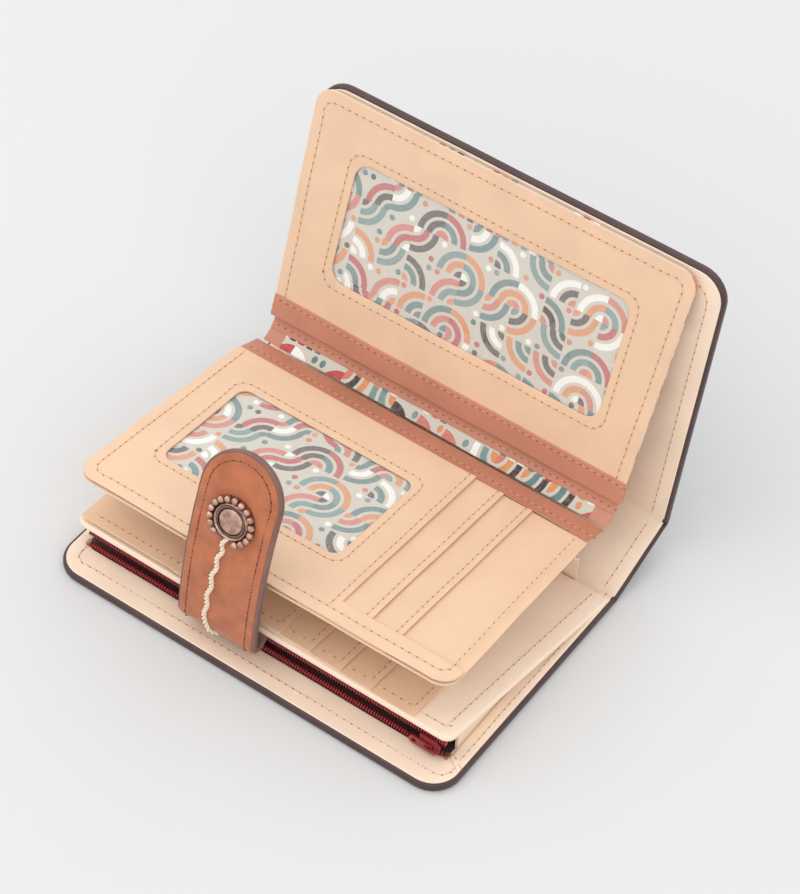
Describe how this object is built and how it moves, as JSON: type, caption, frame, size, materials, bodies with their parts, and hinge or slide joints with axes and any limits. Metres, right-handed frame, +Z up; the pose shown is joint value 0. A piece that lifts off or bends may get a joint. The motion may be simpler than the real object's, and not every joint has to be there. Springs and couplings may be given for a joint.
{
  "type": "folding_wallet",
  "caption": "Bifold wallet standing half open: clear-window pages, card pockets, an unzipped coin pocket and a suede strap with a beaded press button.",
  "frame": {"origin": "middle of the front panel's underside, on the table", "axes": "X along the spine, +Y from the front panel's free edge to the spine, +Z up"},
  "size_m": [0.165, 0.1597, 0.1186],
  "materials": {
    "outer_leather": "dark plum-brown smooth leather",
    "lining_leather": "pale cream smooth leather",
    "page_leather": "light tan smooth leather",
    "board": "stiff fibre board, hidden",
    "bag_cloth": "burgundy woven lining",
    "zip_teeth": "burgundy nylon coil",
    "trim_leather": "terracotta leather binding",
    "strap_suede": "terracotta suede, mottled",
    "window_film": "clear flexible film",
    "printed_cloth": null,
    "aged_metal": "antiqued dull metal",
    "zip_metal": "burgundy painted metal",
    "cord": "cream twisted cord"
  },
  "bodies": {
    "front_panel": {"front_cover": "outer_leather", "front_board": "board", "front_facing": "lining_leather", "coin_bag_floor": "bag_cloth", "coin_gusset_left": "lining_leather", "coin_gusset_right": "lining_leather", "zip_tape_front": "bag_cloth", "zip_teeth_front": "zip_teeth", "zip_end_stops": "aged_metal", "leaf_bellows": "lining_leather"},
    "card_page": {"card_page_backing": "lining_leather", "coin_bag_top": "bag_cloth", "zip_tape_back": "bag_cloth", "zip_teeth_back": "zip_teeth", "card_pocket_1": "page_leather", "card_pocket_2": "page_leather", "card_pocket_3": "page_leather", "card_pocket_4": "page_leather", "card_pocket_5": "page_leather", "card_page_trim": "trim_leather", "strap_root": "trim_leather"},
    "slider": {"zip_slider": "zip_metal"},
    "pull": {"zip_pull": "zip_metal"},
    "leaf": {"leaf_front": "page_leather", "leaf_film": "window_film", "leaf_window_lining": "printed_cloth", "leaf_pocket_2": "page_leather", "leaf_pocket_3": "page_leather", "leaf_core": "page_leather", "leaf_back_sheet": "lining_leather"},
    "flap": {"leaf_flap": "trim_leather"},
    "spine": {"spine_cover": "outer_leather", "spine_lining": "lining_leather"},
    "back_panel": {"back_cover": "outer_leather", "back_board": "board", "back_lining": "lining_leather", "stud_cap": "aged_metal", "stud_post": "aged_metal"},
    "window_page": {"window_page_front": "page_leather", "window_page_film": "window_film", "window_page_lining": "printed_cloth", "window_page_back": "printed_cloth", "window_page_trim": "trim_leather", "bill_sheet": "printed_cloth", "bill_sheet_ends": "trim_leather"},
    "strap": {"strap_face": "strap_suede", "strap_lining": "outer_leather", "button_cap": "aged_metal", "button_beads": "aged_metal", "button_socket": "aged_metal", "strap_cord": "cord"}
  },
  "joints": [
    {"name": "spine_fold", "type": "hinge", "parent": "front_panel", "child": "spine", "pos_m": [0, 0.053, 0.0007], "axis": [1, 0, 0], "range_deg": [-22, 65]},
    {"name": "cover_fold", "type": "hinge", "parent": "spine", "child": "back_panel", "pos_m": [0, 0.08545, 0.01381], "axis": [1, 0, 0], "range_deg": [-58, 35]},
    {"name": "window_page_fold", "type": "hinge", "parent": "back_panel", "child": "window_page", "pos_m": [0, 0.09912, 0.11751], "axis": [1, 0, 0], "range_deg": [-3, 8]},
    {"name": "leaf_fold", "type": "hinge", "parent": "front_panel", "child": "leaf", "pos_m": [0, 0.0506, 0.0269], "axis": [1, 0, 0], "range_deg": [-65, 6.5]},
    {"name": "flap_fold", "type": "hinge", "parent": "leaf", "child": "flap", "pos_m": [0, 0.0506, 0.0269], "axis": [1, 0, 0], "range_deg": [-76, 26]},
    {"name": "card_page_lift", "type": "hinge", "parent": "front_panel", "child": "card_page", "pos_m": [0, 0.0498, 0.0043], "axis": [1, 0, 0], "range_deg": [-3, 0]},
    {"name": "strap_fold", "type": "hinge", "parent": "card_page", "child": "strap", "pos_m": [0, -0.0473, 0.01521], "axis": [1, 0, 0], "range_deg": [0, 95]},
    {"name": "zip_slide", "type": "slide", "parent": "front_panel", "child": "slider", "axis": [1, 0, 0], "range_m": [-0.1395, 0]},
    {"name": "pull_swing", "type": "hinge", "parent": "slider", "child": "pull", "pos_m": [0.07025, -0.0417, 0.0072], "axis": [0, 0, 1], "range_deg": [0, 175]}
  ],
  "couplings": [
    {"joint": "window_page_fold", "follows": "spine_fold", "ratio": 0.12308},
    {"joint": "flap_fold", "follows": "spine_fold", "ratio": -1.1}
  ]
}
